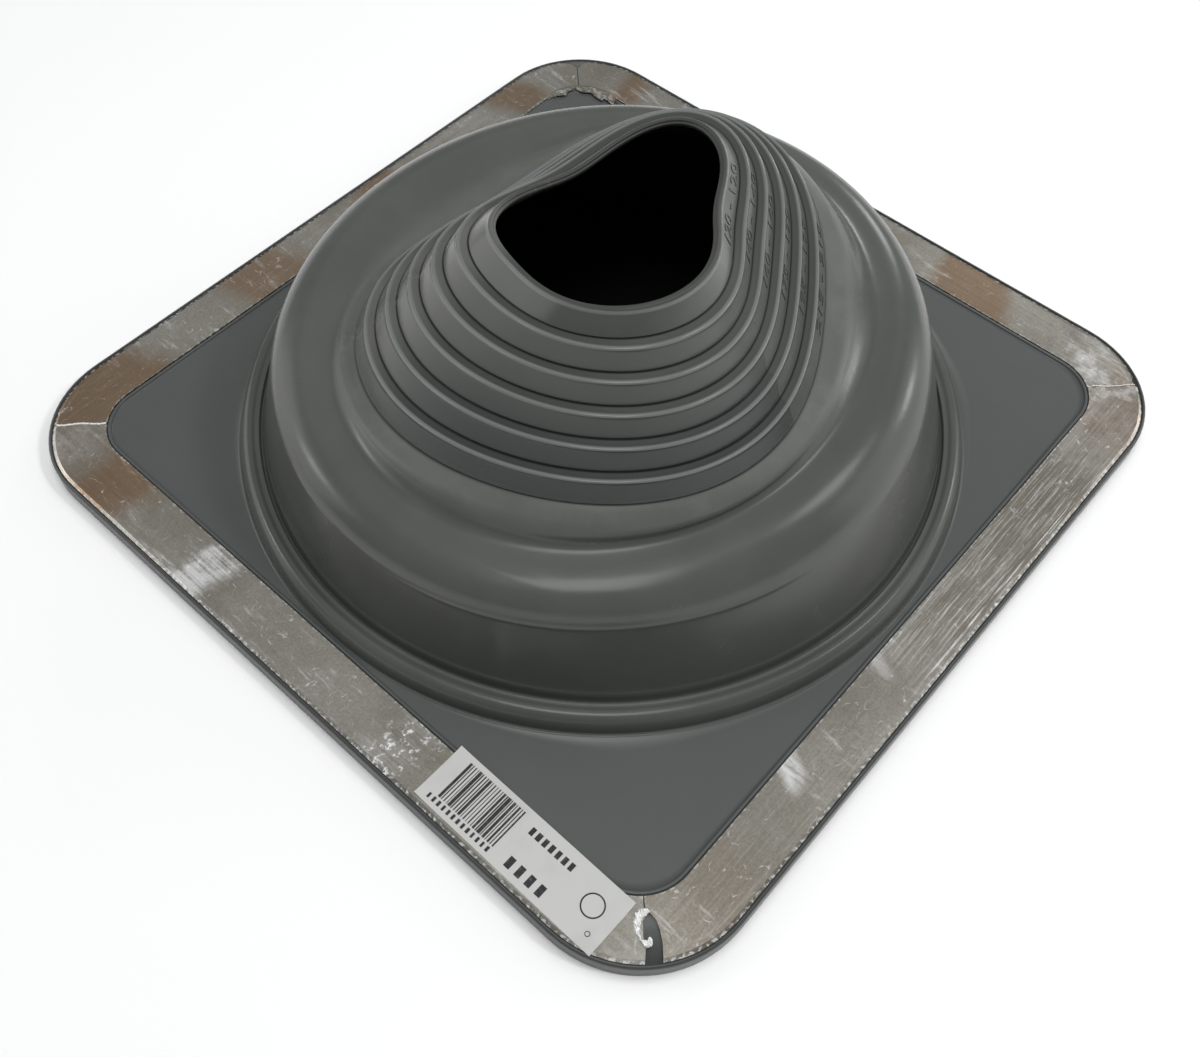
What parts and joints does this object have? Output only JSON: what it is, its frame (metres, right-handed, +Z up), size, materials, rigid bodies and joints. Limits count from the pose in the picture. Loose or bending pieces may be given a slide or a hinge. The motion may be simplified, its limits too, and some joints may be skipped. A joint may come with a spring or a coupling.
{
  "type": "pipe flashing boot",
  "caption": "Soft rubber roof boot with a stepped cone for a round pipe, on a square plate with an aluminium edge; one side of the cone is pushed in.",
  "frame": {"origin": "centre of the plate's outline, on the plane of its underside", "axes": "+Z up through the cone, +X and +Y square to the plate's sides; the picture looks from +X and -Y"},
  "size_m": [0.3232, 0.3232, 0.1254],
  "materials": {
    "rubber": "smooth moulded, dusty in places",
    "edging": "brushed and scuffed",
    "label": "paper"
  },
  "bodies": {
    "root": {"boot": "rubber", "edging_front": "edging", "edging_right": "edging", "edging_back": "edging", "edging_left": "edging", "label": "label"}
  },
  "joints": []
}
